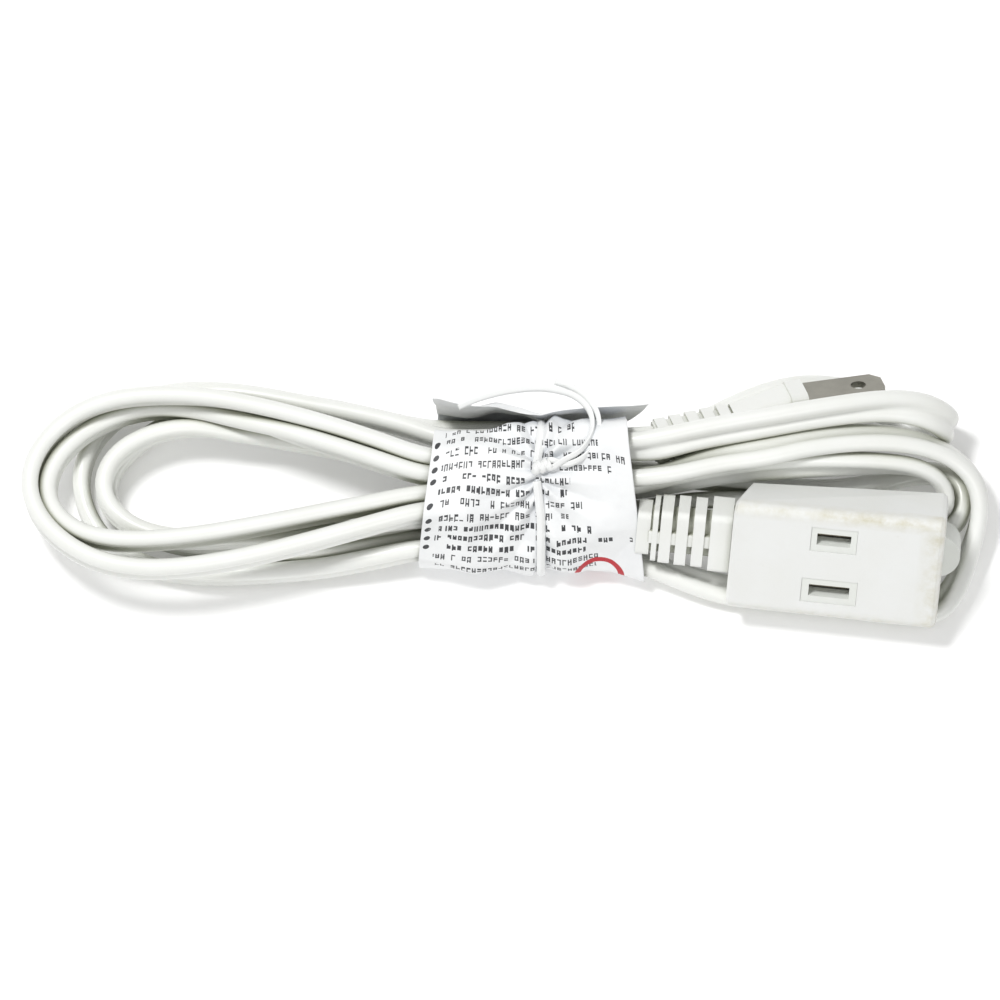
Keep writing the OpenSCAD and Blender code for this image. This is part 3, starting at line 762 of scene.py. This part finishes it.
def crumple(u, s, total):
    """Shallow straight creases across the paper, and pleats that spread from the tie."""
    h = np.zeros_like(u)
    for nx, ny, c, slope, reach in folds:
        d = nx * u + ny * (s - 55) - c
        h += slope * (np.minimum(np.abs(d), reach) - reach)
    side = u - TIE_U
    pinch = np.abs(side)
    pleat = np.exp(-((pinch / 10.0) ** 2)) * np.minimum(pinch / 1.6, 1)
    fan = np.arctan2(s - (total - KNOT_DOWN), pinch + 2.4) * 4.4 + np.where(side > 0, 1.3, 0.2)
    saw = np.abs((fan % 2.0) - 1.0) - 0.5
    fine = np.abs(((s * 0.3 + 0.08 * side) % 2.0) - 1.0) - 0.5
    h += pleat * (saw * 1.9 + fine * 0.7)
    h -= 0.8 * np.exp(-((pinch / 1.8) ** 2))
    return h


def label_strip(f):
    """One line of the sheet round the waist: its points, and how far down the flat sheet they lie."""
    u = U0 + (U1 - U0) * f
    ring = around(u, 0.32, ROWS, START, SWEEP)
    run = np.concatenate([[0], np.cumsum(np.linalg.norm(np.diff(ring, axis=0), axis=1))])
    s = np.linspace(0, run[-1], ROWS)
    ring = np.column_stack([np.interp(s, run, ring[:, 0]), np.interp(s, run, ring[:, 1])])
    along = np.gradient(ring, axis=0)
    along /= np.linalg.norm(along, axis=1)[:, None]
    normal = np.column_stack([along[:, 1], -along[:, 0]])
    normal *= np.sign(((ring - [MID_V, MID_Z]) * normal).sum(1).mean())

    # creases and pleats, pressed flat under the bundle, and a lower end that lifts a little
    pinched = math.exp(-(((u - TIE_U) / 5.0) ** 2))
    raised = crumple(np.full(ROWS, u), s, s[-1]) * np.clip(s / 4, 0.3, 1) + 0.95
    under = np.clip((5 - ring[:, 1]) / 4, 0, 1)
    raised = np.maximum(raised, 0.04) * (1 - under) + 0.05 * under
    end = np.clip((s - (s[-1] - 9)) / 9, 0, 1)
    vz = ring + normal * (raised + end**2 * (0.5 - 0.4 * pinched))[:, None]

    # the first stretch is a flap that stands up behind the bundle, higher to the left
    flap = np.clip(1 - s / 15.0, 0, 1)
    left = np.clip(-(u - TIE_U) / 22, 0, 1)
    vz[:, 0] += flap**1.6 * (3.6 + 2.8 * left - 1.2 * pinched)
    vz[:, 1] += flap**1.5 * (2.6 + 3.4 * left**0.8 - 1.6 * pinched + 0.5 * math.sin(u * 0.55))

    skew = 1.4 * np.sin((s / s[-1]) * 5.2 + 0.5) * (f - 0.5)
    flare = 0.93 + 0.0065 * (11 - ring[:, 0])
    across = u * flare + skew * 0.4 + flap * 4.5 * max(u, 0) / U1
    return np.column_stack([across, vz[:, 0], np.maximum(vz[:, 1], 0.16)]), s


UV_SCALE = MM * 10  # one unit of the print's coordinates is 10 cm
PAPER = 0.00012
grid = np.zeros((COLS, ROWS, 3))
flat = np.zeros((COLS, ROWS, 2))
for i, f in enumerate(np.linspace(0, 1, COLS)):
    grid[i], flat[i, :, 1] = label_strip(f)
    flat[i, :, 0] = (U1 - U0) * f
label_len = float(flat[:, -1, 1].mean())

verts = (HANK_AT + grid.reshape(-1, 3) @ HANK_R.T) * MM
corner = [i * ROWS + j for i in range(COLS - 1) for j in range(ROWS - 1)]
mesh = bpy.data.meshes.new("care_label_sheet")
mesh.from_pydata(verts.tolist(), [], [(a, a + 1, a + ROWS + 1, a + ROWS) for a in corner])
uv = mesh.uv_layers.new(name="print")
index = np.zeros(len(mesh.loops), int)
mesh.loops.foreach_get("vertex_index", index)
uv.data.foreach_set("uv", flat.reshape(-1, 2)[index].ravel() * UV_SCALE)
mesh.update()
label = link(mesh, "care_label_sheet")
solid = label.modifiers.new("thickness", "SOLIDIFY")
solid.thickness = PAPER
solid.offset = 0


class Print:
    """Tests on the sheet's flat coordinates: x along a row, y down the sheet, in units of 10 cm."""

    ROW, GLYPH = 0.0255, 0.0102  # distance from row to row, and from glyph to glyph

    def __init__(self, k):
        self.k = k
        axes = k.t.nodes.new("ShaderNodeSeparateXYZ")
        k.t.links.new(k.coords.outputs["UV"], axes.inputs[0])
        self.x, self.y = axes.outputs[0], axes.outputs[1]
        self.y_up = k.math("SUBTRACT", label_len * UV_SCALE, self.y)
        self.row, self.in_row = self.split(self.y, self.ROW)
        self.glyph, self.in_glyph = self.split(self.x, self.GLYPH)

    def split(self, value, pitch):
        n = self.k.math("DIVIDE", value, pitch)
        return self.k.math("FLOOR", n), self.k.math("FRACT", n)

    def white_noise(self, dimensions, socket, value):
        w = self.k.t.nodes.new("ShaderNodeTexWhiteNoise")
        w.noise_dimensions = dimensions
        self.k.t.links.new(value, w.inputs[socket])
        return w.outputs["Value"]

    def per_row(self, seed):
        return self.white_noise("1D", "W", self.k.math("ADD", self.row, seed))

    def per_glyph(self, seed):
        c = self.k.t.nodes.new("ShaderNodeCombineXYZ")
        self.k.t.links.new(self.glyph, c.inputs[0])
        self.k.t.links.new(self.row, c.inputs[1])
        c.inputs[2].default_value = seed
        return self.white_noise("3D", "Vector", c.outputs[0])

    def all_of(self, *tests):
        out = tests[0]
        for t in tests[1:]:
            out = self.k.math("MULTIPLY", out, t)
        return out

    def between(self, value, low, high):
        return self.all_of(self.k.math("GREATER_THAN", value, low), self.k.math("LESS_THAN", value, high))

    def near_to(self, value, at, half):
        return self.k.math("LESS_THAN", self.k.math("ABSOLUTE", self.k.math("SUBTRACT", value, at)), half)

    def distance(self, dx, dy):
        m = self.k.math
        return m("SQRT", m("ADD", m("MULTIPLY", dx, dx), m("MULTIPLY", dy, dy)))

    def page(self):
        return self.between(self.y_up, 0.006, 0.335)

    def rows_of_strokes(self):
        """Broken strokes in rows, which stand for print and spell nothing."""
        m = self.k.math
        kind = self.per_glyph(2.5)
        bold = m("GREATER_THAN", self.per_row(8.2), 0.72)
        stroke = m("ADD", 0.115, m("MULTIPLY", bold, 0.06))
        strokes = None
        # two upright and three level strokes: where, how thick, which seed and how often
        for value, at, thick, seed, share in (
            (self.in_glyph, 0.2, 1.0, 6.5, 0.72),
            (self.in_glyph, 0.7, 1.0, 7.5, 0.55),
            (self.in_row, 0.3, 0.5, 8.5, 0.6),
            (self.in_row, 0.47, 0.5, 9.5, 0.5),
            (self.in_row, 0.64, 0.5, 10.5, 0.6),
        ):
            there = m("LESS_THAN", self.per_glyph(seed), share)
            one = self.all_of(self.near_to(value, at, m("MULTIPLY", stroke, thick)), there)
            strokes = one if strokes is None else m("MAXIMUM", strokes, one)
        words = self.all_of(m("GREATER_THAN", kind, 0.16), self.between(self.in_glyph, 0.1, 0.84))
        tall = m("MULTIPLY", m("GREATER_THAN", kind, 0.66), 0.12)
        band = self.between(self.in_row, m("SUBTRACT", 0.24, tall), 0.7)
        begin = m("ADD", 0.022, m("MULTIPLY", self.per_row(3.7), 0.012))
        stop = m("ADD", 0.29, m("MULTIPLY", self.per_row(11.3), 0.13))
        return self.all_of(words, strokes, band, self.between(self.x, begin, stop), self.page())

    def row_dots(self):
        """A round dot before some of the rows."""
        m = self.k.math
        dx = m("DIVIDE", m("SUBTRACT", self.x, 0.012), self.ROW)
        round_dot = m("LESS_THAN", self.distance(dx, m("SUBTRACT", self.in_row, 0.5)), 0.24)
        return self.all_of(round_dot, self.page(), m("GREATER_THAN", self.per_row(5.1), 0.42))

    def ring(self, x, y, radius, half):
        m = self.k.math
        d = self.distance(m("SUBTRACT", self.x, x), m("SUBTRACT", self.y, y))
        return self.near_to(d, radius, half)


def label_paper():
    """White paper with dark strokes that spell nothing and two plain red rings, cut by the sheet's ends, with painted
    shade in its folds.
    """
    k = Look("label_paper", (0.88, 0.89, 0.89), 0.5, Specular_IOR_Level=0.4)
    marks = Print(k)
    ink = k.math("MAXIMUM", marks.rows_of_strokes(), marks.row_dots())
    paper = k.ramp(k.noise(120, 4, 0.6), [(0.3, (0.83, 0.84, 0.85)), (0.7, (0.89, 0.90, 0.90))])
    rubbed = k.math("GREATER_THAN", k.noise(900, 3, 0.7), 0.3)
    col = k.mix(k.math("MULTIPLY", k.math("MULTIPLY", ink, rubbed), 0.96), paper, (0.02, 0.021, 0.025))
    for x, above_end in ((0.345, 0.358), (0.075, -0.036)):
        ring = marks.ring(x, label_len * UV_SCALE - above_end, 0.042, 0.006)
        col = k.mix(ring, col, (0.5, 0.03, 0.04))
    k.into("Base Color", col)
    k.into("Roughness", k.math("ADD", k.math("MULTIPLY", k.noise(300, 3, 0.6), 0.2), 0.38))
    k.bump(k.noise(1500, 4, 0.7), 0.25, 0.00005)
    k.bump(k.noise(55, 5, 0.75), 0.5, 0.0006)
    # painted shade: the paper's colour darkens in its folds and where it wraps close to the cords
    paint_crevice_shade(k, (0.68, 0.7, 0.73), 0.004)
    return k


dress(label, label_paper(), "label_paper", "care_label")

# ---------------------------------------------------------------- twist tie

HOOP_POINTS = 60
TWISTS, TWIST_R = 2.5, 0.75
hoop = around(TIE_U, 1.35, HOOP_POINTS, 88, 352)
hoop[:, 1] = np.maximum(hoop[:, 1], 0.62)
knot_z = float(hoop[0, 1])
# the hoop starts and ends a little to the side of the knot
hoop_line = [
    (TIE_U - 0.9 + 1.2 * min(1, i / 6) - 0.9 * max(0, (i - 52) / 7), v, z) for i, (v, z) in enumerate(hoop)
]


def twisted(side, mid):
    """One of the two strands that are twisted together from the knot outwards."""
    out = []
    for t in np.linspace(0, TWISTS * 2 * math.pi, 26):
        f = t / (TWISTS * 2 * math.pi)
        y = mid + 0.8 * f + side * TWIST_R * math.cos(t)
        out.append((0.6 + 3.4 * f, y, knot_z + 0.95 + 0.5 * f + side * TWIST_R * math.sin(t)))
    return out


def above_knot(points):
    return [(x, y, knot_z + up_by) for x, y, up_by in points]


# the long end curls right, round and back to the left; the short end stops halfway
LONG_END = [
    (7, 2.2, 2.4), (10.2, 4, 2.8), (12.6, 7.8, 3.4), (12.4, 12, 3.6), (9.4, 15.4, 3.7),
    (3, 17.2, 3.6), (-4.5, 16.8, 3.2), (-11, 15.2, 2.8), (-15.2, 13.4, 2.6),
]
SHORT_END = [
    (7.4, 1.4, 1.4), (11.2, 3.2, 1.8), (14, 7.4, 2.2), (13.8, 12.2, 2.6),
    (11.4, 15.6, 2.9), (8.2, 17.8, 3), (5, 18.9, 3),
]


def tie_section(n=20):
    """A flat strip with a rib along its middle, where the wire runs."""
    out = []
    for i in range(n):
        a = 2 * math.pi * i / n
        rib = 0.24 * math.exp(-((math.cos(a) / 0.45) ** 2))
        out.append((0.92 * math.cos(a), (0.34 + rib) * math.sin(a)))
    return out


def tie_piece(name, points, facing):
    base = np.array([hank(*q) for q in points])
    sides = np.tile(HANK_R @ np.array(facing, float), (len(base), 1))
    full, _ = spline(np.column_stack([base, sides]), 0.35)
    return tube(name, smooth(full[:, :3], 3), full[:, 3:], tie_section())


tie_look = vinyl("tie_plastic", (0.87, 0.88, 0.88), 0.42, 0.2, 0.3)
END_FACING = (0.3, 0.5, 0.8)
strip = [
    tie_piece("twist_tie_hoop", hoop_line, (1, 0, 0)),
    tie_piece("twist_tie_end_a", twisted(1, 0.4) + above_knot(LONG_END), END_FACING),
    tie_piece("twist_tie_end_b", twisted(-1, 0.8) + above_knot(SHORT_END), END_FACING),
]
for o in strip:
    dress(o, tie_look, "tie_plastic")
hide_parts("twist_tie", "twist_tie_wire")

# ---------------------------------------------------------------- floor and light

bpy.ops.mesh.primitive_plane_add(size=6, location=(0, 0, -0.0004))
floor = bpy.context.object
floor.name = "floor"
floor_look = Look("floor_white", (0.93,) * 3, 0.8, Emission_Strength=0.16)
floor_look.into("Base Color", floor_look.ramp(floor_look.noise(3, 2), [(0.3, (0.925,) * 3), (0.7, (0.935,) * 3)]))
floor.data.materials.append(floor_look.mat)

world = bpy.data.worlds.new("studio")
bpy.context.scene.world = world
world.use_nodes = True
sky = world.node_tree.nodes["Background"]
sky.inputs["Color"].default_value = (1, 1, 0.99, 1)
sky.inputs["Strength"].default_value = 0.43


def area(name, at, size, power):
    """A round lamp that points at the origin."""
    data = bpy.data.lights.new(name, "AREA")
    data.shape = "DISK"
    data.size, data.energy = size, power
    o = bpy.data.objects.new(name, data)
    bpy.context.scene.collection.objects.link(o)
    o.location = at
    o.rotation_mode = "QUATERNION"
    o.rotation_quaternion = (-Vector(at)).to_track_quat("-Z", "Y")


area("key", (-0.34, 0.15, 0.93), 0.2, 6.0)
area("fill", (0.25, -0.75, 0.8), 0.5, 2.6)
bpy.context.scene.view_settings.view_transform = "Standard"
bpy.context.scene.view_settings.look = "None"

# ---------------------------------------------------------------- a list of the plug's node names

plug_nodes = ["plug_body", "plug_strain_relief", "plug_insert", "line_blade", "neutral_blade"]
plug_nodes += ["plug_line_wire", "plug_neutral_wire", "plug_strands"]
